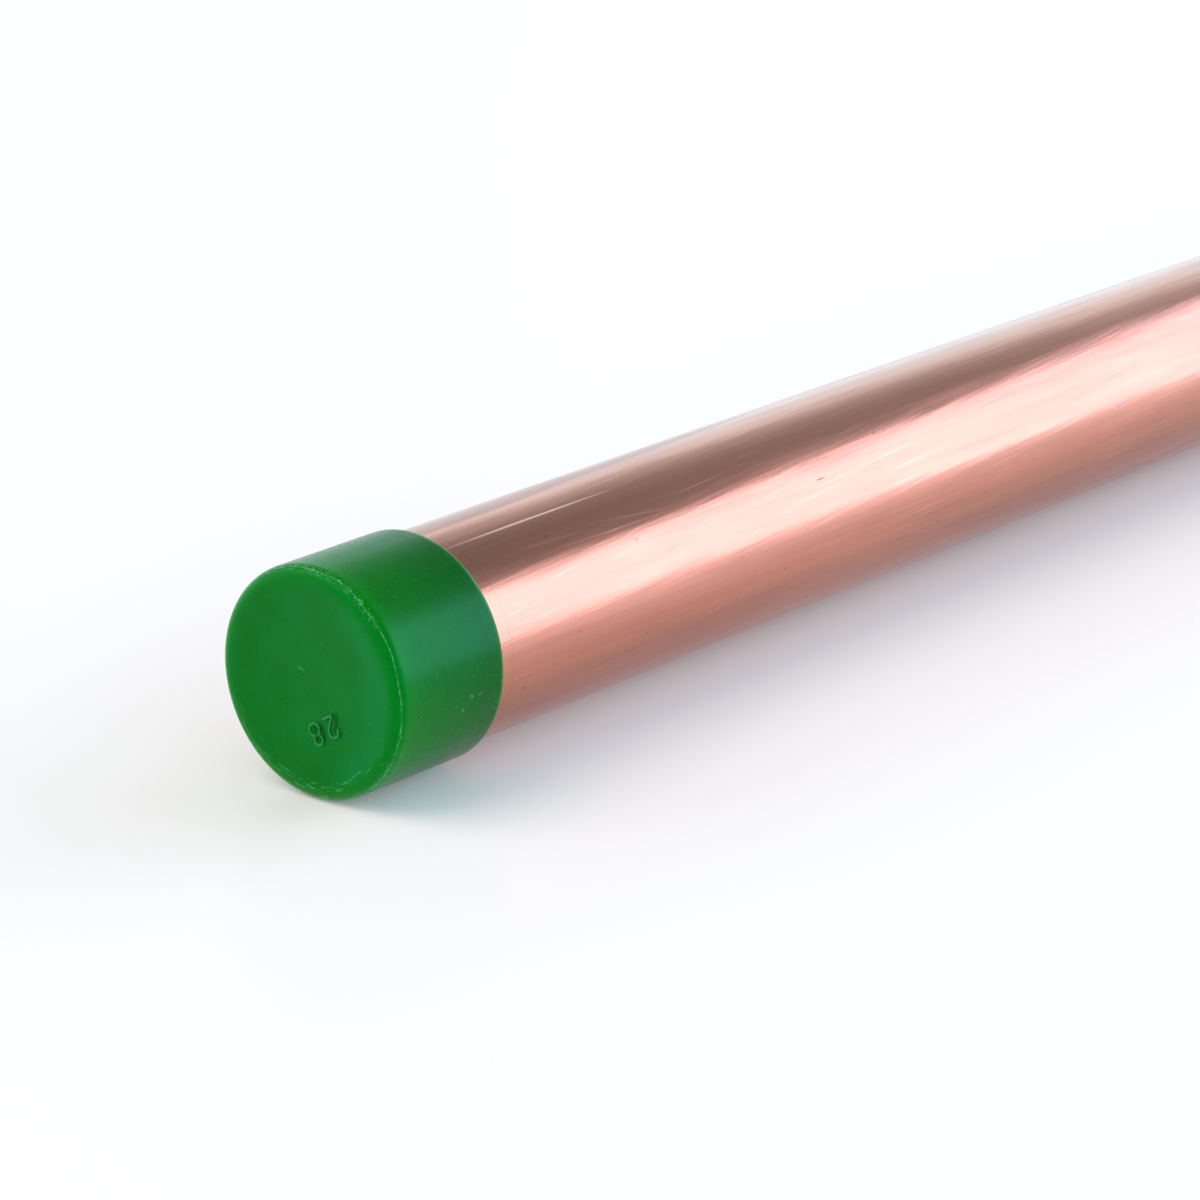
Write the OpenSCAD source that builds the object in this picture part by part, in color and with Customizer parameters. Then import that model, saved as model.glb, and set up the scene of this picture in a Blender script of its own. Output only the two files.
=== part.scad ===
// Straight length of 28 mm copper tube with a moulded slip-on cap on each end.
// The tube lies along X on the mouths of its caps, with the origin on the floor under its middle.

/* [Tube] */
// Outside diameter of the tube
tube_od = 28; // [12:1:108]
// Wall of the tube
tube_wall = 1; // [0.6:0.1:2.5]
// Length of the tube from cut to cut
tube_length = 1000; // [300:10:6000]
// Edge broken off each cut, inside and outside
tube_edge_break = 0.2; // [0.05:0.05:0.25]

/* [End caps] */
// Length of a cap from its mouth to its closed face
cap_length = 19.1; // [8:0.1:40]
// Wall of the skirt at the mouth
cap_skirt_wall = 0.9; // [0.7:0.05:2]
// Wall of the closed end at its edge
cap_end_wall = 1.6; // [1.4:0.1:4]
// Radius round the closed end
cap_corner_r = 1.6; // [0.4:0.1:1.8]
// Depth of the dish in the closed face
cap_dish_depth = 0.45; // [0.1:0.05:0.8]
// Width of the flat ring round the dish
cap_land_w = 0.8; // [0.5:0.1:3]

/* [Hidden] */

// Room between the skirt and the tube, on the radius
cap_clearance = 0.05;
// Draft of the skirt: how much narrower it is at its closed end than at its mouth, on the radius
cap_draft = 0.05;
// Radius on the outer edge of the mouth
cap_mouth_r = 0.3;
// Lead-in on the inner edge of the mouth, along the skirt and into its wall
cap_lead_in_length = 0.6;
cap_lead_in_depth = 0.2;
// How far a cut runs past the face that it opens
overrun = 1;

// Radii of the tube
tube_r = tube_od / 2;
tube_bore_r = tube_r - tube_wall;

// Radii of the cap's skirt, inside and at both ends of its outside
skirt_bore_r = tube_r + cap_clearance;
skirt_mouth_r = skirt_bore_r + cap_skirt_wall;
skirt_closed_r = skirt_mouth_r - cap_draft;

// Centres of the two rounds on the cap's outline
corner_centre = [skirt_closed_r - cap_corner_r, cap_corner_r];
mouth_centre = [skirt_mouth_r - cap_mouth_r, cap_length - cap_mouth_r];

// Ball that leaves the dish, inside the flat ring
dish_r = corner_centre.x - cap_land_w;
dish_ball_r = (dish_r * dish_r + cap_dish_depth * cap_dish_depth) / (2 * cap_dish_depth);

// The axis lies as high as the widest part of a cap, and each cap seats on a cut end of the tube
axis_height = skirt_mouth_r;
cap_face_x = tube_length / 2 + cap_end_wall;

// Fineness of the round surfaces
$fn = 360;

// Half section of the tube, with its radius across and its length up
module tube_section() {
    polygon([
        [tube_bore_r + tube_edge_break, 0],
        [tube_r - tube_edge_break, 0],
        [tube_r, tube_edge_break],
        [tube_r, tube_length - tube_edge_break],
        [tube_r - tube_edge_break, tube_length],
        [tube_bore_r + tube_edge_break, tube_length],
        [tube_bore_r, tube_length - tube_edge_break],
        [tube_bore_r, tube_edge_break]
    ]);
}

// Outside of the cap's half section, with the closed face at zero and both edges rounded
module cap_outline() {
    polygon([
        [0, 0],
        [corner_centre.x, 0],
        corner_centre,
        [skirt_closed_r, corner_centre.y],
        [skirt_mouth_r, mouth_centre.y],
        mouth_centre,
        [mouth_centre.x, cap_length],
        [0, cap_length]
    ]);
    translate(corner_centre)
        circle(r = cap_corner_r);
    translate(mouth_centre)
        circle(r = cap_mouth_r);
}

// Hollow that takes the tube's end, opening at the mouth in a lead-in
module cap_hollow() {
    polygon([
        [0, cap_end_wall],
        [skirt_bore_r, cap_end_wall],
        [skirt_bore_r, cap_length - cap_lead_in_length],
        [skirt_bore_r + cap_lead_in_depth, cap_length],
        [skirt_bore_r + cap_lead_in_depth, cap_length + overrun],
        [0, cap_length + overrun]
    ]);
}

// Moulded cap with its closed face at the origin and its mouth towards +X
module cap() {
    rotate([0, 90, 0])
        rotate_extrude()
            difference() {
                cap_outline();
                cap_hollow();
                translate([0, cap_dish_depth - dish_ball_r])
                    circle(r = dish_ball_r);
            }
}

module tube() {
    color("#c98a70")
        translate([-tube_length / 2, 0, axis_height])
            rotate([0, 90, 0])
                rotate_extrude()
                    tube_section();
}

module near_end_cap() {
    color("#00782a")
        translate([-cap_face_x, 0, axis_height])
            cap();
}

module far_end_cap() {
    color("#00782a")
        mirror([1, 0, 0])
            translate([-cap_face_x, 0, axis_height])
                cap();
}

tube();
near_end_cap();
far_end_cap();
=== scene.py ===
# Straight 28 mm copper tube with a green slip-on cap on each end, lying on a white table
import math

import bmesh
import bpy
from mathutils import Matrix, Vector


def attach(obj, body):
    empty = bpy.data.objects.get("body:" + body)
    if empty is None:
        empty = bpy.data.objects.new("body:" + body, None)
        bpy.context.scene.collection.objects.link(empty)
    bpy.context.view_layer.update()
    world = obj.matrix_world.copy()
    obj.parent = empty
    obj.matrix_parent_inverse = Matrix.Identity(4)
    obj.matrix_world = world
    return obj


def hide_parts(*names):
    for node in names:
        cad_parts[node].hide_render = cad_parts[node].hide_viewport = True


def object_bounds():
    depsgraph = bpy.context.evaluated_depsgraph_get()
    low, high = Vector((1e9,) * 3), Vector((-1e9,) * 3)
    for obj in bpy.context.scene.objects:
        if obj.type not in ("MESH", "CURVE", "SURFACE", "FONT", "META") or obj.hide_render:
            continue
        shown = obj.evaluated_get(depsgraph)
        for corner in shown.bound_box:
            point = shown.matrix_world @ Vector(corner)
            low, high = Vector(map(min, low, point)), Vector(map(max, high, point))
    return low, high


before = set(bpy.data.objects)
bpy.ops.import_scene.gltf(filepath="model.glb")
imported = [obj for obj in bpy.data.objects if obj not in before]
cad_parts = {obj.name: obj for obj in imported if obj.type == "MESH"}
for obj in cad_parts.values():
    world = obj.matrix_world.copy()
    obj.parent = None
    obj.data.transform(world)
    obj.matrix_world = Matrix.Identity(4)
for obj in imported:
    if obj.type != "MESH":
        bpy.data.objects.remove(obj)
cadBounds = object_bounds()
mm = 0.001
axisHeight = round(cadBounds[1][2] / 2, 6)  # the tube lies on its widest rings, the mouths of its caps
print("frame loaded:", sorted(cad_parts))


def hexColor(code):  # sRGB hex to linear RGBA
    parts = [int(code[i:i + 2], 16) / 255 for i in (1, 3, 5)]
    return [p / 12.92 if p <= 0.04045 else ((p + 0.055) / 1.055) ** 2.4 for p in parts] + [1.0]


def addNode(tree, kind, inputs=None, out=0, **settings):  # adds, sets and links a node, gives back one output
    node = tree.nodes.new("ShaderNode" + kind)
    for name, value in settings.items():
        setattr(node, name, value)
    for name, value in (inputs or {}).items():
        if isinstance(value, bpy.types.NodeSocket):
            tree.links.new(value, node.inputs[name])
        else:
            node.inputs[name].default_value = value
    return node.outputs[out] if node.outputs else node


def newMaterial(name):
    material = bpy.data.materials.new(name)
    material.use_nodes = True
    material.node_tree.nodes.clear()
    return material, material.node_tree


def placeRoundTube(tree):  # object place, then along the tube, up from its axis and out to its front
    place = addNode(tree, "TexCoord", out="Object")
    axes = addNode(tree, "SeparateXYZ", {0: place}).node
    up = addNode(tree, "Math", {0: axes.outputs["Z"], 1: axisHeight}, operation="SUBTRACT")
    front = addNode(tree, "Math", {0: axes.outputs["Y"], 1: -1.0}, operation="MULTIPLY")
    return place, axes.outputs["X"], up, front


def addPatterns(tree, sizes, places):  # noises: where, mm across, times longer along X, detail, roughness
    patterns = {}
    for name, (where, size, stretch, detail, roughness) in sizes.items():
        drawnOut = addNode(tree, "Mapping", {"Vector": places[where], "Scale": (1 / stretch, 1, 1)})
        patterns[name] = addNode(tree, "TexNoise", {
            "Vector": drawnOut, "Scale": 1 / (size * mm), "Detail": detail, "Roughness": roughness})
    return patterns


def surfaceMark(tree, flat, centre, length, width, lean):  # an oval or a fine line on an unrolled surface
    local = addNode(tree, "Mapping", {
        "Vector": flat, "Location": (*centre, 0), "Rotation": (0, 0, math.radians(lean)),
        "Scale": (length / 2, width / 2, 1)}, vector_type="TEXTURE")
    reach = addNode(tree, "VectorMath", {0: local}, out="Value", operation="LENGTH")
    return addNode(tree, "MapRange", {"Value": reach, "From Min": 1.0, "From Max": 0.3})  # fades to its edge


def layerColors(tree, look, color, layers):  # mixes each named tone over the last by its amount
    for amount, tone in layers:
        # 6 and 7 are the colours of a Mix node, and 2 is what comes out
        color = addNode(tree, "Mix", {0: amount, 6: color, 7: hexColor(look[tone])}, out=2, data_type="RGBA")
    return color


def layerBumps(tree, relief, heights):  # lays each named relief over the last: strength, height in mm
    last = {}
    for name, (strength, rise) in relief.items():
        last["Normal"] = addNode(tree, "Bump", {
            "Height": heights[name], "Strength": strength, "Distance": rise * mm, **last})
    return last["Normal"]


def ringEdges(bm, x, radius):  # edges of the ring at this place along the tube and this radius
    tolerance = 0.001 * mm

    def onRing(vert):
        outward = math.hypot(vert.co.y, vert.co.z - axisHeight)
        return abs(vert.co.x - x) < tolerance and abs(outward - radius) < tolerance
    return [e for e in bm.edges if onRing(e.verts[0]) and onRing(e.verts[1])]


def spinProfile(bm, points, segments):  # turns a half section, given as (x, radius), about the tube's axis
    verts = [bm.verts.new((x, 0, axisHeight + r)) for x, r in points]
    edges = [bm.edges.new(pair) for pair in zip(verts, verts[1:])]
    bmesh.ops.spin(bm, geom=verts + edges, cent=(0, 0, axisHeight), axis=(1, 0, 0), dvec=(0, 0, 0),
                   angle=2 * math.pi, steps=segments, use_merge=True, use_duplicate=False)
    bmesh.ops.remove_doubles(bm, verts=bm.verts, dist=0.0001 * mm)
    bmesh.ops.recalc_face_normals(bm, faces=bm.faces)


def cutRings(bm, places):  # extra rings, for faces in proportion and crisp rounds
    for x in places:
        whole = bm.verts[:] + bm.edges[:] + bm.faces[:]
        bmesh.ops.bisect_plane(bm, geom=whole, plane_co=(x, 0, 0), plane_no=(1, 0, 0))


def finishPiece(bm, name, material, node, sharp):
    mesh = bpy.data.meshes.new(name)
    bm.to_mesh(mesh)
    bm.free()
    for face in mesh.polygons:
        face.use_smooth = True
    mesh.set_sharp_from_angle(angle=math.radians(sharp))
    mesh.materials.append(material)
    piece = bpy.data.objects.new(name, mesh)
    bpy.context.collection.objects.link(piece)
    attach(piece, "root")
    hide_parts(node)
    print(name, len(mesh.polygons), "faces")


# Copper tube

tubeLook = {
    "outerRadius": 14.0 * mm,
    "wall": 1.0 * mm,
    "halfLength": 500.0 * mm,
    "edgeBreak": 0.2 * mm,
    "segments": 128,
    "copper": "#cc8973",
    "oxide": "#a96e5c",
    "bright": "#f4d2c4",  # freshly rubbed metal
    "scored": "#ffc6b0",  # bare metal in the long scratch, partly a painted glint
    "dark": "#6e4538",  # dark specks and a short dark dash
    "roughness": (0.13, 0.24),  # clean metal, then smeared
    "oilFilm": 0.12,  # weight of the clear coat
    "rollLean": 3.5,  # degrees at which the marks of the straightening rolls wind round the tube
    # patterns: where, mm across the tube, times longer along it, detail, roughness
    # real satin, draw lines and rubs are too fine to show, so these are drawn coarser
    "patterns": {
        "satin": ("straight", 0.4, 3, 2, 0.55),
        "drawLines": ("straight", 0.5, 120, 3, 0.55),
        "smears": ("straight", 2.2, 14, 4, 0.55),
        "bloom": ("straight", 25, 2, 3, 0.55),
        "specks": ("straight", 0.8, 1.5, 1, 0.55),
        "rolls": ("wound", 1.1, 18, 3, 0.5),
        "rubs": ("wound", 0.45, 50, 1, 0.5),
    },
    # stains: the pattern that makes one, the levels at which it starts and is full, and how much it covers
    "stains": {
        "tarnish": ("bloom", 0.35, 0.75, 0.35),
        "streaks": ("smears", 0.45, 0.75, 0.4),
        "lines": ("drawLines", 0.35, 0.7, 0.18),
        "rubbed": ("rubs", 0.66, 0.74, 0.1),
        "speckled": ("specks", 0.74, 0.79, 0.4),
    },
    # relief: strength, height in mm
    "relief": {"satin": (0.1, 0.02), "drawLines": (0.08, 0.02), "rolls": (0.4, 0.1), "scores": (0.8, 0.05)},
    # marks: mm from the near end, degrees up from the front, length and width in mm, then degrees of lean
    "scratch": (34, 71.3, 38, 0.6, 0.4),
    "dash": (86.9, 34, 2.6, 0.3, 1),
    "hairlines": (
        (36.2, 53.6, 12, 0.3, -3.7),
        (49.8, 51.7, 19, 0.35, -6),
        (46, 47.5, 24, 0.4, -0.6),
        (31.7, 54.1, 9, 0.25, -6),
        (64, 55.4, 14, 0.35, 1.5),
    ),
    "hairlineAmount": 0.16,
    "capRing": {"fromEnd": 20.3 * mm, "width": 0.32 * mm, "amount": 0.25},  # a faint darker ring just past each cap's mouth
}


def drawnCopper(look):
    # hard-drawn copper: satin metal, faint lines along the draw, a thin oil film and handling marks
    material, tree = newMaterial("drawnCopper")
    place, along, up, front = placeRoundTube(tree)
    turn = addNode(tree, "Math", {0: up, 1: front}, operation="ARCTAN2")  # zero at the front
    around = addNode(tree, "Math", {0: turn, 1: look["outerRadius"]}, operation="MULTIPLY")
    unrolled = addNode(tree, "CombineXYZ", {"X": along, "Y": around})
    winding = math.tan(math.radians(look["rollLean"])) / look["outerRadius"]
    angle = addNode(tree, "Math", {0: along, 1: winding}, operation="MULTIPLY")
    wound = addNode(tree, "VectorRotate", {
        "Vector": place, "Center": (0, 0, axisHeight), "Axis": (1, 0, 0), "Angle": angle})
    patterns = addPatterns(tree, look["patterns"], {"straight": place, "wound": wound})
    stains = {}
    for name, (pattern, start, full, most) in look["stains"].items():
        stains[name] = addNode(tree, "MapRange", {
            "Value": patterns[pattern], "From Min": start, "From Max": full, "To Max": most})

    def tubeMark(end, upTurn, length, width, lean):
        centre = (end * mm - look["halfLength"], math.radians(upTurn) * look["outerRadius"])
        return surfaceMark(tree, unrolled, centre, length * mm, width * mm, lean)

    # the long scratch's pale colour is partly a painted glint
    scratch = tubeMark(*look["scratch"])
    dash = tubeMark(*look["dash"])
    hairlines = 0.0
    for mark in look["hairlines"]:
        hairlines = addNode(tree, "Math", {0: hairlines, 1: tubeMark(*mark)}, operation="MAXIMUM")
    fineLines = addNode(tree, "Math", {0: hairlines, 1: look["hairlineAmount"]}, operation="MULTIPLY")
    capRing = look["capRing"]
    ringPlace = look["halfLength"] - capRing["fromEnd"]
    fromMiddle = addNode(tree, "Math", {0: along}, operation="ABSOLUTE")
    ring = addNode(tree, "Math", {0: fromMiddle, 1: ringPlace, 2: capRing["width"] / 2}, operation="COMPARE")
    faintRing = addNode(tree, "Math", {0: ring, 1: capRing["amount"]}, operation="MULTIPLY")
    color = layerColors(tree, look, hexColor(look["copper"]), (
        (stains["tarnish"], "oxide"), (stains["streaks"], "oxide"), (stains["lines"], "oxide"),
        (stains["rubbed"], "bright"), (fineLines, "bright"), (scratch, "scored"),
        (stains["speckled"], "dark"), (dash, "dark"), (faintRing, "oxide")))

    clean, smeared = look["roughness"]
    rough = addNode(tree, "MapRange", {
        "Value": patterns["smears"], "From Min": 0.3, "From Max": 0.75, "To Min": clean, "To Max": smeared})
    scores = addNode(tree, "Math", {0: scratch, 1: fineLines}, operation="MAXIMUM")
    shader = addNode(tree, "BsdfPrincipled", {
        "Base Color": color, "Metallic": 1.0, "Roughness": rough,
        "Normal": layerBumps(tree, look["relief"], {**patterns, "scores": scores}),
        "Coat Weight": look["oilFilm"], "Coat Roughness": 0.2})
    addNode(tree, "OutputMaterial", {"Surface": shader})
    return material


def layOutTube(bm, look):  # own map: two strips for the outside, one for the bore, a little for the cuts
    uv = bm.loops.layers.uv.new("OFBake")
    margin = 0.004
    usable = 1 - 2 * margin
    stripHeight = 0.44  # of each half of the outside
    boreBottom, boreHeight = 0.895, 0.05
    cutLeft, cutWidth = 0.02, 0.4
    cutTop, cutSpread = 0.99, 0.25
    midWall = look["outerRadius"] - look["wall"] / 2
    for face in bm.faces:
        middle = face.calc_center_median()
        turn = math.atan2(middle.z - axisHeight, -middle.y)
        outside = math.hypot(middle.y, middle.z - axisHeight) > midWall
        half = 0 if middle.x < 0 else 1
        for loop in face.loops:
            p = loop.vert.co
            angle = math.atan2(p.z - axisHeight, -p.y)
            angle += 2 * math.pi * round((turn - angle) / (2 * math.pi))  # keeps faces whole at the seam
            share = angle / (2 * math.pi) + 0.5
            along = p.x / look["halfLength"]
            if abs(face.normal.x) > 0.5:  # a cut end
                inset = 1 - math.hypot(p.y, p.z - axisHeight) / look["outerRadius"]
                loop[uv].uv = (cutLeft + half / 2 + cutWidth * share, cutTop - cutSpread * inset)
            elif outside:
                loop[uv].uv = (margin + usable * abs(along), margin + stripHeight * (share + half))
            else:
                loop[uv].uv = (margin + usable * (along + 1) / 2, boreBottom + boreHeight * share)


def copperTube(look):
    bm = bmesh.new()
    outer = look["outerRadius"]
    bore = outer - look["wall"]
    end = look["halfLength"]
    spinProfile(bm, [(-end, bore), (-end, outer), (end, outer), (end, bore), (-end, bore)], look["segments"])
    corners = [e for x in (-end, end) for r in (bore, outer) for e in ringEdges(bm, x, r)]
    bmesh.ops.bevel(bm, geom=corners, offset=look["edgeBreak"], offset_type="OFFSET", affect="EDGES",
                    segments=1, profile=0.5, material=-1)
    cutRings(bm, (-end / 2, 0, end / 2))
    layOutTube(bm, look)
    finishPiece(bm, "copperTube", drawnCopper(look), "tube", sharp=30)


copperTube(tubeLook)


# Moulded caps

capLook = {
    "length": 19.1 * mm,
    "clearance": 0.05 * mm,  # between the skirt and the tube
    "draft": 0.05 * mm,  # how much narrower the skirt is at its closed end
    "endWall": 1.6 * mm,
    "cornerRadius": 1.6 * mm,
    "landWidth": 0.8 * mm,  # flat ring round the dish
    "landRound": 0.35 * mm,  # where the dish meets it
    "dishDepth": 0.45 * mm,
    "dishRings": 8,
    "mouthRound": 0.3 * mm,
    "leadIn": (0.6 * mm, 0.2 * mm),  # along the skirt, then into its wall
    "faceSupports": (2.0 * mm, 3.5 * mm),  # extra rings behind the face
    "mouthSupports": (2.0 * mm, 0.9 * mm),  # extra rings before the mouth
    "segments": 160,
    "green": "#007004",
    "cool": "#007c2c",  # cloudier pigment
    "paintedDishLight": "#008232",  # painted light on the side of the dish that faces the light
    "edge": "#068a10",  # painted light where light would come through the thick corner and the thin lip
    "deep": "#004806",  # painted shade: the thin skirt darker over the gap behind it
    "paintedDigitShade": "#005000",  # painted shade in and beside the raised digits
    "ridge": "#2f9a4e",  # tops of the raised digits, lighter partly from wear and partly as a painted highlight; also turned lines and the gouge
    "pale": "#72c890",  # stress-whitened scuffs
    "sheen": "#38ffcc",  # tint of the gloss, which the green pigment takes the red out of
    "roughness": (0.22, 0.28),  # between the grain and on it
    # patterns: where, mm across, times longer round the cap, detail, roughness
    # real grain and turned lines are too fine to show, so these are drawn coarser
    "patterns": {
        "cloud": ("place", 6, 1, 3, 0.5),
        "grain": ("place", 0.5, 1, 2, 0.5),
        "wander": ("skirt", 7, 1, 0, 0.5),
        "breaks": ("skirt", 0.5, 1.6, 3, 0.5),
        "flecks": ("skirt", 0.26, 1.8, 2, 0.5),
        "turned": ("skirt", 0.24, 14, 2, 0.5),
        "specks": ("skirt", 0.75, 1, 1, 0.5),
        "faceLines": ("ring", 0.18, 12, 1, 0.5),
    },
    "relief": {"grain": (0.12, 0.02), "rings": (0.2, 0.02)},  # strength, height in mm
    "gouge": (-1.5, 1.7, 1.6, 0.3, -15),  # on the near face: mm right and up, length, width, degrees of lean
}

# a cap seats on the tube's cut, its hollow goes round the tube and its mouth rests on the table
capLook["faceX"] = tubeLook["halfLength"] + capLook["endWall"]
capLook["hollowRadius"] = tubeLook["outerRadius"] + capLook["clearance"]
capLook["mouthRadius"] = axisHeight
capLook["closedRadius"] = capLook["mouthRadius"] - capLook["draft"]
capLook["cornerStart"] = capLook["closedRadius"] - capLook["cornerRadius"]  # radius where the face rounds off
capLook["dishRadius"] = capLook["cornerStart"] - capLook["landWidth"]

digitLook = {
    "strokeRadius": 0.23 * mm,
    "proud": 0.22 * mm,  # how far a stroke stands out of the dish
    "turn": 212,  # degrees that the number is turned on the face
    "two": (3.55 * mm, -4.67 * mm),  # centres, right and up from the middle of the face
    "eight": (1.0 * mm, -6.18 * mm),
    # painted shade in the loops and beside the strokes: mm right and up, length, width, then degrees of lean
    "shades": (
        (0.85, -5.61, 1.5, 1.5, 0),
        (1.49, -6.6, 1.35, 1.35, 0),
        (2.1, -5.7, 3.6, 1.1, -68),
        (4.2, -3.8, 3.6, 1.1, 86),
        (4.03, -5.07, 1.2, 1.2, 0),
        (3.06, -3.87, 0.9, 0.7, 0),
        (5.09, -5.26, 1.2, 0.6, 80),
    ),
}


def dishDrop(look, radius):  # depth of the dish below the flat ring
    return look["dishDepth"] * max(0.0, 1 - (radius / look["dishRadius"]) ** 2)


def strokeMesh(lines, look):  # round strokes along smooth lines, each given as (points, closed)
    curve = bpy.data.curves.new("stroke", "CURVE")
    curve.dimensions = "3D"
    curve.bevel_depth = look["strokeRadius"]
    curve.bevel_resolution = 3
    curve.use_fill_caps = True
    for points, closed in lines:
        spline = curve.splines.new("BEZIER")
        spline.bezier_points.add(len(points) - 1)
        spline.use_cyclic_u = closed
        spline.resolution_u = 8
        for bez, (right, up) in zip(spline.bezier_points, points):
            bez.co = (right * mm, up * mm, 0)
            bez.handle_left_type = bez.handle_right_type = "AUTO"
    holder = bpy.data.objects.new("stroke", curve)
    mesh = bpy.data.meshes.new_from_object(holder)
    bpy.data.objects.remove(holder)
    bpy.data.curves.remove(curve)
    return mesh


def ovalPoints(right, up, halfWidth, halfHeight):
    return [(right + halfWidth * math.cos(a), up + halfHeight * math.sin(a))
            for a in (i * math.pi / 4 for i in range(8))]


def addNumber(bm, look, digits):  # the tube's size, raised in the dish, in strokes given in mm
    hook = [(-0.84, 0.5), (-0.6, 1.12), (0.02, 1.34), (0.66, 1.06), (0.76, 0.45), (0.14, -0.42),
            (-0.88, -1.32)]
    foot = [(-0.88, -1.32), (0.02, -1.34), (0.92, -1.32)]
    two = [(hook, False), (foot, False)]
    eight = [(ovalPoints(0, 0.74, 0.66, 0.64), True), (ovalPoints(0, -0.64, 0.86, 0.76), True)]
    turn = Matrix.Rotation(math.radians(digits["turn"]), 4, "Z")
    for lines, centre in ((two, digits["two"]), (eight, digits["eight"])):
        mesh = strokeMesh(lines, digits)
        start = len(bm.verts)
        bm.from_mesh(mesh)
        bpy.data.meshes.remove(mesh)
        bm.verts.ensure_lookup_table()
        for v in bm.verts[start:]:
            flat = turn @ v.co
            right, up = flat.x + centre[0], flat.y + centre[1]
            sunk = dishDrop(look, math.hypot(right, up)) + digits["strokeRadius"] - digits["proud"] - flat.z
            v.co = (-look["faceX"] + sunk, -right, axisHeight + up)


def capPlaces(tree, look):  # where a point is on a cap, seen alike from either end
    place, along, up, front = placeRoundTube(tree)
    fromMiddle = addNode(tree, "Math", {0: along}, operation="ABSOLUTE")
    depth = addNode(tree, "Math", {0: look["faceX"], 1: fromMiddle}, operation="SUBTRACT")  # behind the face
    near = addNode(tree, "Math", {0: along, 1: 0.0}, operation="LESS_THAN")
    end = addNode(tree, "Math", {0: along}, operation="SIGN")
    left = addNode(tree, "Math", {0: front, 1: end}, operation="MULTIPLY")
    right = addNode(tree, "Math", {0: left, 1: -1.0}, operation="MULTIPLY")
    face = addNode(tree, "CombineXYZ", {"X": right, "Y": up})
    radius = addNode(tree, "VectorMath", {0: face}, out="Value", operation="LENGTH")
    # the skirt and the flat ring, unrolled from the top, with other patterns at each end
    turn = addNode(tree, "Math", {0: front, 1: up}, operation="ARCTAN2")
    around = addNode(tree, "Math", {0: turn, 1: look["mouthRadius"]}, operation="MULTIPLY")
    skirt = addNode(tree, "CombineXYZ", {"X": around, "Y": depth, "Z": along})
    ring = addNode(tree, "CombineXYZ", {"X": around, "Y": radius, "Z": along})
    return {"place": place, "near": near, "right": right, "up": up, "depth": depth, "radius": radius,
            "face": face, "skirt": skirt, "ring": ring}


def rimScuffs(tree, look, at, patterns):  # whitened corner, and flat ring where the cap knocks on the ground
    # a cap is worn at its top and underneath
    overhead = addNode(tree, "MapRange", {
        "Value": at["up"], "From Min": 8.5 * mm, "From Max": 11.5 * mm, "To Max": 0.8})
    underneath = addNode(tree, "MapRange", {
        "Value": at["up"], "From Min": -4 * mm, "From Max": -12 * mm, "To Max": 0.8})
    worn = addNode(tree, "Math", {0: overhead, 1: underneath}, operation="ADD")

    # a broken hairline wanders along the corner
    sway = addNode(tree, "MapRange", {
        "Value": patterns["wander"], "From Min": 0.2, "From Max": 0.8,
        "To Min": 0.4 * mm, "To Max": 1.0 * mm})
    aside = addNode(tree, "Math", {0: at["depth"], 1: sway}, operation="SUBTRACT")
    offLine = addNode(tree, "Math", {0: aside}, operation="ABSOLUTE")
    line = addNode(tree, "MapRange", {"Value": offLine, "From Min": 0.1 * mm, "From Max": 0.03 * mm})
    broken = addNode(tree, "MapRange", {
        "Value": patterns["breaks"], "From Min": 0.4, "From Max": 0.65, "To Min": 0.08, "To Max": 0.6})
    hairline = addNode(tree, "Math", {0: line, 1: broken}, operation="MULTIPLY")

    # flecks lie beside it where the cap is worn
    nearLine = addNode(tree, "MapRange", {"Value": offLine, "From Min": 0.5 * mm, "From Max": 0.1 * mm})
    chips = addNode(tree, "MapRange", {"Value": patterns["flecks"], "From Min": 0.54, "From Max": 0.66})
    wornChips = addNode(tree, "Math", {0: chips, 1: worn}, operation="MULTIPLY")
    flecks = addNode(tree, "Math", {0: nearLine, 1: wornChips}, operation="MULTIPLY")
    whitened = addNode(tree, "Math", {0: hairline, 1: flecks}, operation="MAXIMUM")
    start = look["cornerStart"]
    corner = addNode(tree, "MapRange", {
        "Value": at["radius"], "From Min": start - 0.3 * mm, "From Max": start + 0.2 * mm})
    cornerScuffs = addNode(tree, "Math", {0: whitened, 1: corner}, operation="MULTIPLY", use_clamp=True)

    # lines run round the lowest part of the flat ring
    ringMiddle = look["dishRadius"] + look["landWidth"] / 2
    onRing = addNode(tree, "Math", {0: at["radius"], 1: ringMiddle, 2: 0.6 * mm}, operation="COMPARE")
    lowRing = addNode(tree, "Math", {0: onRing, 1: underneath}, operation="MULTIPLY")
    lines = addNode(tree, "MapRange", {
        "Value": patterns["faceLines"], "From Min": 0.58, "From Max": 0.68, "To Max": 0.5})
    ringScuffs = addNode(tree, "Math", {0: lowRing, 1: lines}, operation="MULTIPLY")
    return cornerScuffs, ringScuffs


def skirtMarks(tree, look, at, patterns):  # pale specks, most of them low down, and turned lines
    start = look["cornerStart"]
    side = addNode(tree, "MapRange", {
        "Value": at["radius"], "From Min": start + 0.3 * mm, "From Max": start + 1.1 * mm})
    lowSide = addNode(tree, "MapRange", {
        "Value": at["up"], "From Min": 3 * mm, "From Max": -4 * mm, "To Min": 0.12})
    spots = addNode(tree, "MapRange", {
        "Value": patterns["specks"], "From Min": 0.7, "From Max": 0.78, "To Max": 0.5})
    sideSpots = addNode(tree, "Math", {0: side, 1: spots}, operation="MULTIPLY")
    specks = addNode(tree, "Math", {0: sideSpots, 1: lowSide}, operation="MULTIPLY")
    rings = addNode(tree, "Math", {0: side, 1: patterns["turned"]}, operation="MULTIPLY")
    turned = addNode(tree, "MapRange", {"Value": rings, "From Min": 0.6, "From Max": 0.74, "To Max": 0.2})
    return specks, rings, turned


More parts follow.
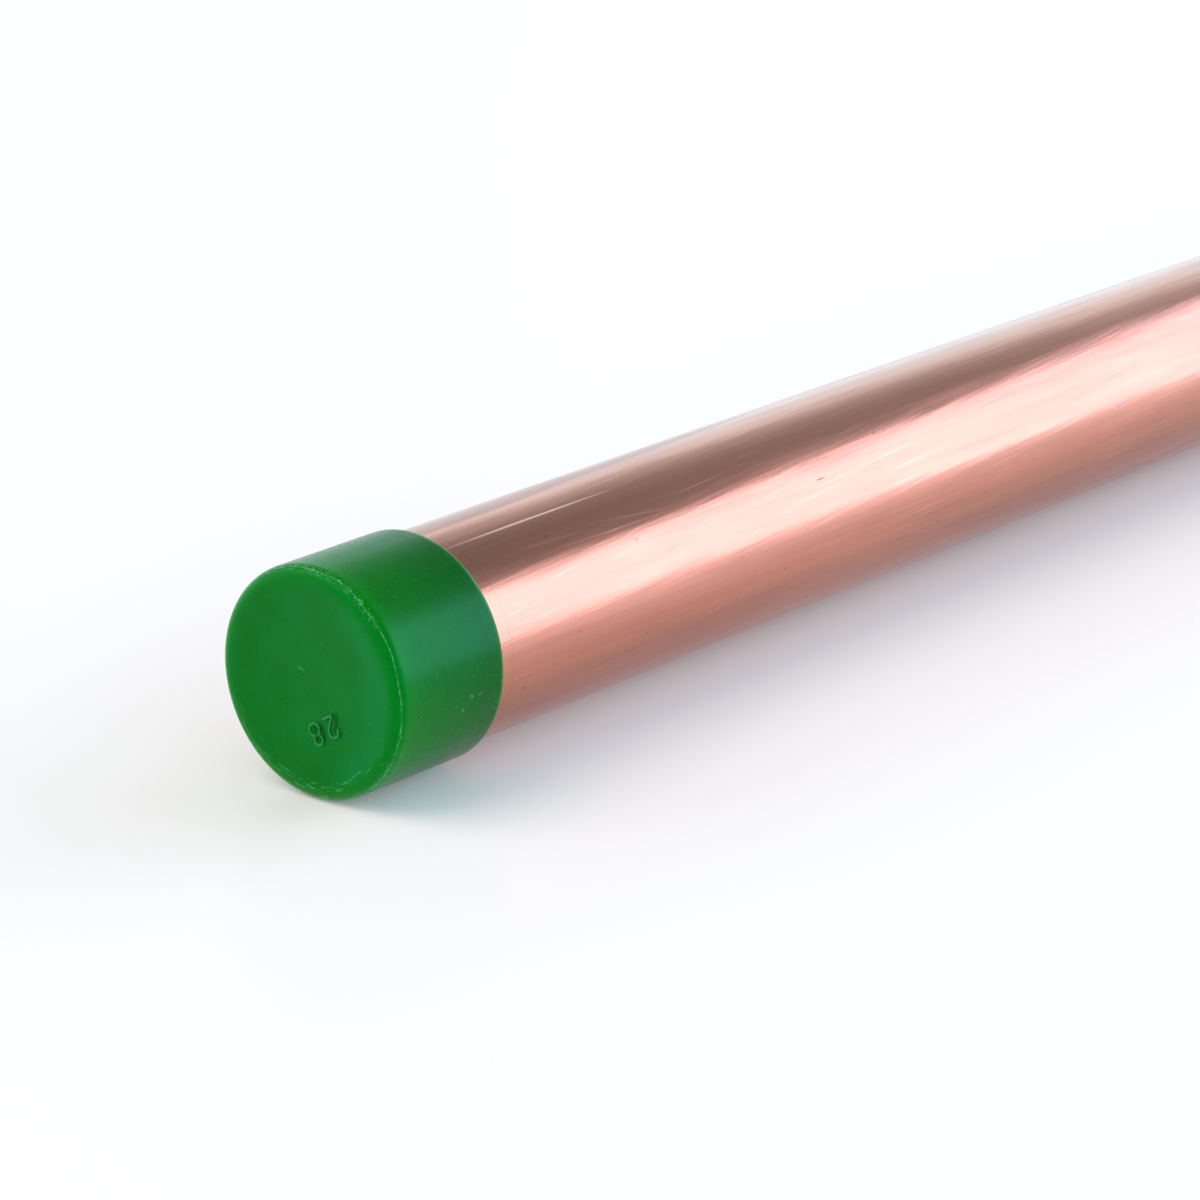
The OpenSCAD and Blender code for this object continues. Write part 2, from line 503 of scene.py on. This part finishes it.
def faceMarks(tree, look, digits, at):  # painted light on the dish's lit side, painted shade round the digits, the digits' tops, gouge
    def faceMark(right, up, length, width, lean):
        return surfaceMark(tree, at["face"], (right * mm, up * mm), length * mm, width * mm, lean)

    start = look["cornerStart"]
    # painted light: the dish is made lighter towards its right and outer edge, where it faces the light
    rightward = addNode(tree, "MapRange", {
        "Value": at["right"], "From Max": 9 * mm, "To Max": 0.6}, interpolation_type="SMOOTHSTEP")
    outward = addNode(tree, "MapRange", {
        "Value": at["radius"], "From Min": 7 * mm, "From Max": 12 * mm}, interpolation_type="SMOOTHSTEP")
    rising = addNode(tree, "Math", {0: rightward, 1: outward}, operation="MULTIPLY")
    onFace = addNode(tree, "MapRange", {
        "Value": at["radius"], "From Min": start + 0.1 * mm, "From Max": start - 0.5 * mm})
    paintedDishLight = addNode(tree, "Math", {0: rising, 1: onFace}, operation="MULTIPLY")
    # painted shade in the digits' loops and beside their strokes
    paintedDigitShade = 0.0
    for mark in digits["shades"]:
        paintedDigitShade = addNode(tree, "Math", {0: paintedDigitShade, 1: faceMark(*mark)}, operation="MAXIMUM")
    gouged = addNode(tree, "Math", {0: at["near"], 1: faceMark(*look["gouge"])}, operation="MULTIPLY")

    # what stands out of the dish is the top of a digit, lightened partly as wear and partly as a painted
    # highlight
    squared = addNode(tree, "Math", {0: at["radius"], 1: 2.0}, operation="POWER")
    dish = addNode(tree, "MapRange", {
        "Value": squared, "From Max": look["dishRadius"] ** 2, "To Min": look["dishDepth"], "To Max": 0.0})
    proud = addNode(tree, "Math", {0: dish, 1: at["depth"]}, operation="SUBTRACT")
    ridge = addNode(tree, "MapRange", {
        "Value": proud, "From Min": 0.08 * mm, "From Max": 0.2 * mm, "To Max": 0.55})
    return paintedDishLight, paintedDigitShade, gouged, ridge


def lightThrough(tree, look, at):
    # painted light and shade in place of translucency: lighter at the thick corner and the thin lip, darker
    # over the gap behind the skirt
    start = look["cornerStart"]
    rimward = addNode(tree, "MapRange", {
        "Value": at["radius"], "From Min": start - 0.9 * mm, "From Max": start + 0.9 * mm, "To Max": 0.45},
        interpolation_type="SMOOTHSTEP")
    forward = addNode(tree, "MapRange", {
        "Value": at["depth"], "From Min": 1.0 * mm, "From Max": 4.5 * mm, "To Min": 1.0, "To Max": 0.0},
        interpolation_type="SMOOTHSTEP")
    glow = addNode(tree, "Math", {0: rimward, 1: forward}, operation="MULTIPLY")
    # painted shade: the skirt darkens towards its mouth, over the gap behind it
    shade = addNode(tree, "MapRange", {
        "Value": at["depth"], "From Min": 4 * mm, "From Max": 17 * mm, "To Max": 0.6})
    mouth = look["length"]
    lip = addNode(tree, "MapRange", {
        "Value": at["depth"], "From Min": mouth - 0.7 * mm, "From Max": mouth - 0.2 * mm, "To Max": 0.8})
    return glow, shade, lip


def mouldedPolyethylene(look, digits):
    # injection-moulded low-density polyethylene: waxy, lets some light through, whitens where it is scuffed
    material, tree = newMaterial("mouldedPolyethylene")
    at = capPlaces(tree, look)
    patterns = addPatterns(tree, look["patterns"], at)
    cornerScuffs, ringScuffs = rimScuffs(tree, look, at, patterns)
    specks, rings, turned = skirtMarks(tree, look, at, patterns)
    paintedDishLight, paintedDigitShade, gouged, ridge = faceMarks(tree, look, digits, at)
    glow, shade, lip = lightThrough(tree, look, at)

    # clouds in the pigment, cooler on the face than on the skirt
    start = look["cornerStart"]
    tone = addNode(tree, "MapRange", {
        "Value": patterns["cloud"], "From Min": 0.3, "From Max": 0.7, "To Min": 0.95, "To Max": 1.05})
    green = addNode(tree, "HueSaturation", {"Value": tone, "Color": hexColor(look["green"])})
    coolest = addNode(tree, "MapRange", {
        "Value": at["radius"], "From Min": start - 0.3 * mm, "From Max": start + 0.9 * mm,
        "To Min": 0.3, "To Max": 0.06})
    cool = addNode(tree, "MapRange", {
        "Value": patterns["cloud"], "From Min": 0.4, "From Max": 0.65, "To Max": coolest})
    color = layerColors(tree, look, green, (
        (cool, "cool"), (paintedDishLight, "paintedDishLight"), (glow, "edge"), (shade, "deep"), (lip, "edge"), (paintedDigitShade, "paintedDigitShade"),
        (ridge, "ridge"), (turned, "ridge"), (specks, "pale"), (gouged, "ridge"), (ringScuffs, "pale"),
        (cornerScuffs, "pale")))

    smooth, grainy = look["roughness"]
    rough = addNode(tree, "MapRange", {
        "Value": patterns["grain"], "From Min": 0.3, "From Max": 0.7, "To Min": smooth, "To Max": grainy})
    shader = addNode(tree, "BsdfPrincipled", {
        "Base Color": color, "Roughness": rough,
        "Normal": layerBumps(tree, look["relief"], {**patterns, "rings": rings}),
        "IOR": 1.51, "Specular IOR Level": 0.24, "Specular Tint": hexColor(look["sheen"]),
        "Subsurface Weight": 0.35, "Subsurface Radius": (0.3, 1.0, 0.35), "Subsurface Scale": 1.5 * mm})
    addNode(tree, "OutputMaterial", {"Surface": shader})
    return material


def endCap(look, digits, material, name, node, far):
    bm = bmesh.new()
    face = -look["faceX"]
    seat = face + look["endWall"]
    mouth = face + look["length"]
    lead, leadDepth = look["leadIn"]
    dish = [i / look["dishRings"] * look["dishRadius"] for i in range(look["dishRings"])]
    profile = [(face + dishDrop(look, r), r) for r in dish]
    profile += [(face, look["dishRadius"]), (face, look["closedRadius"]), (mouth, look["mouthRadius"]),
                (mouth, look["hollowRadius"] + leadDepth), (mouth - lead, look["hollowRadius"]),
                (seat, look["hollowRadius"]), (seat, 0.0)]
    spinProfile(bm, profile, look["segments"])
    for x, radius, size, steps in ((face, look["closedRadius"], look["cornerRadius"], 10),
                                   (face, look["dishRadius"], look["landRound"], 3),
                                   (mouth, look["mouthRadius"], look["mouthRound"], 4)):
        bmesh.ops.bevel(bm, geom=ringEdges(bm, x, radius), offset=size, offset_type="OFFSET", affect="EDGES",
                        segments=steps, profile=0.5, material=-1)
    cutRings(bm, [face + back for back in look["faceSupports"]])
    cutRings(bm, [mouth - back for back in look["mouthSupports"]])
    addNumber(bm, look, digits)
    if far:
        halfTurn = Matrix.Rotation(math.pi, 3, "Z")
        bmesh.ops.rotate(bm, verts=bm.verts, cent=(0, 0, axisHeight), matrix=halfTurn)
    finishPiece(bm, name, material, node, sharp=35)


capPlastic = mouldedPolyethylene(capLook, digitLook)
endCap(capLook, digitLook, capPlastic, "nearCap", "near_end_cap", False)
endCap(capLook, digitLook, capPlastic, "farCap", "far_end_cap", True)


# Table, light and camera

studioLook = {
    "table": "#f2f2f2",
    "tableRadius": 5.0,
    "tableRoughness": 0.25,
    "tableShine": 0.03,
    "tableGlow": 0.13,  # lifts the lit white to the paper white of the background
    "sky": (0.82, 1.0, 1.08),
    "walls": 1.05,  # brightness of the room round the table
    "ceiling": 0.36,
    "ceilingEdge": (0.38, 0.72),  # sines of the heights where the walls end and the ceiling starts
    "lampTarget": (-0.4, 0, 0.02),  # the tube beside its near cap
    "lamps": {
        # long highlight on the front
        "softbox": {"place": (1.36, -1.14, 0.67), "size": (2.9, 1.4), "roll": 5, "radiance": 2.3,
                    "color": (0.88, 1.01, 1.36)},
        # pale edge along the top
        "backbox": {"place": (1.634, 0.683, 0.545), "size": (1.83, 1.08), "roll": 0, "radiance": 0.48,
                    "color": (0.7, 1.0, 1.1)},
        # warm light on the closed face
        "fill": {"place": (-1.8, 1.0, 2.0), "size": (2.2, 2.2), "roll": 0, "radiance": 1.95,
                 "color": (1.4, 1.0, 0.84)},
    },
}


def whiteTable(look):  # lacquered board: even white with hardly any shine
    material, tree = newMaterial("lacqueredBoard")
    # the glow is seen by the camera and in metal or glass, but lights nothing else
    seen = addNode(tree, "LightPath").node.outputs
    direct = addNode(tree, "Math", {0: seen["Is Camera Ray"], 1: seen["Is Glossy Ray"]}, operation="MAXIMUM")
    shown = addNode(tree, "Math", {0: direct, 1: seen["Is Transmission Ray"]}, operation="MAXIMUM")
    glow = addNode(tree, "Math", {0: shown, 1: look["tableGlow"]}, operation="MULTIPLY")
    shader = addNode(tree, "BsdfPrincipled", {
        "Base Color": hexColor(look["table"]), "Roughness": look["tableRoughness"],
        "Specular IOR Level": look["tableShine"], "Emission Color": (1, 1, 1, 1), "Emission Strength": glow})
    addNode(tree, "OutputMaterial", {"Surface": shader})
    bm = bmesh.new()
    bmesh.ops.create_circle(bm, cap_ends=True, segments=96, radius=look["tableRadius"])
    mesh = bpy.data.meshes.new("table")
    bm.to_mesh(mesh)
    bm.free()
    mesh.materials.append(material)
    table = bpy.data.objects.new("table", mesh)
    bpy.context.collection.objects.link(table)


def areaLamp(name, look, target):
    lamp = bpy.data.lights.new(name, "AREA")
    lamp.shape = "RECTANGLE"
    lamp.size, lamp.size_y = look["size"]
    lamp.energy = look["radiance"] * math.pi * lamp.size * lamp.size_y  # watts
    lamp.color = look["color"]
    holder = bpy.data.objects.new(name, lamp)
    holder.location = look["place"]
    aim = (Vector(target) - Vector(look["place"])).to_track_quat("-Z", "Y").to_matrix()
    holder.rotation_euler = (aim @ Matrix.Rotation(math.radians(look["roll"]), 3, "Z")).to_euler()
    holder.visible_camera = False
    bpy.context.collection.objects.link(holder)


def studioSky(look):  # bright low walls, dim ceiling, plain white where the camera sees it
    world = bpy.data.worlds.new("studioSky")
    world.use_nodes = True
    tree = world.node_tree
    tree.nodes.clear()
    wallTop, ceilingStart = look["ceilingEdge"]
    up = addNode(tree, "SeparateXYZ", {0: addNode(tree, "TexCoord", out="Generated")}, out="Z")
    level = addNode(tree, "MapRange", {
        "Value": up, "From Min": wallTop, "From Max": ceilingStart, "To Min": look["walls"],
        "To Max": look["ceiling"]}, interpolation_type="SMOOTHSTEP")
    seen = addNode(tree, "LightPath", out="Is Camera Ray")
    strength = addNode(tree, "Mix", {0: seen, 2: level, 3: 1.0}, out=0, data_type="FLOAT")
    tint = addNode(tree, "Mix", {0: seen, 6: (*look["sky"], 1), 7: (1, 1, 1, 1)}, out=2, data_type="RGBA")
    shader = addNode(tree, "Background", {"Color": tint, "Strength": strength})
    addNode(tree, "OutputWorld", {"Surface": shader})
    bpy.context.scene.world = world


whiteTable(studioLook)
for name, lampLook in studioLook["lamps"].items():
    areaLamp(name, lampLook, studioLook["lampTarget"])
studioSky(studioLook)

cameraLook = {
    "place": (-839.3 * mm, -322.3 * mm, 179.95 * mm),
    "turn": (90 - 18.32, 0, -50.68),  # degrees
    "lens": 122.34,  # focal length and sensor as a camera gives them, in mm
    "sensor": 36,
    "clipStart": 10 * mm,
}
camera = bpy.data.objects.new("camera", bpy.data.cameras.new("camera"))
camera.location = cameraLook["place"]
camera.rotation_euler = [math.radians(a) for a in cameraLook["turn"]]
camera.data.lens = cameraLook["lens"]
camera.data.sensor_width = cameraLook["sensor"]
camera.data.clip_start = cameraLook["clipStart"]
bpy.context.collection.objects.link(camera)
bpy.context.scene.camera = camera
bpy.context.scene.view_settings.view_transform = "Standard"
print("studio ready")
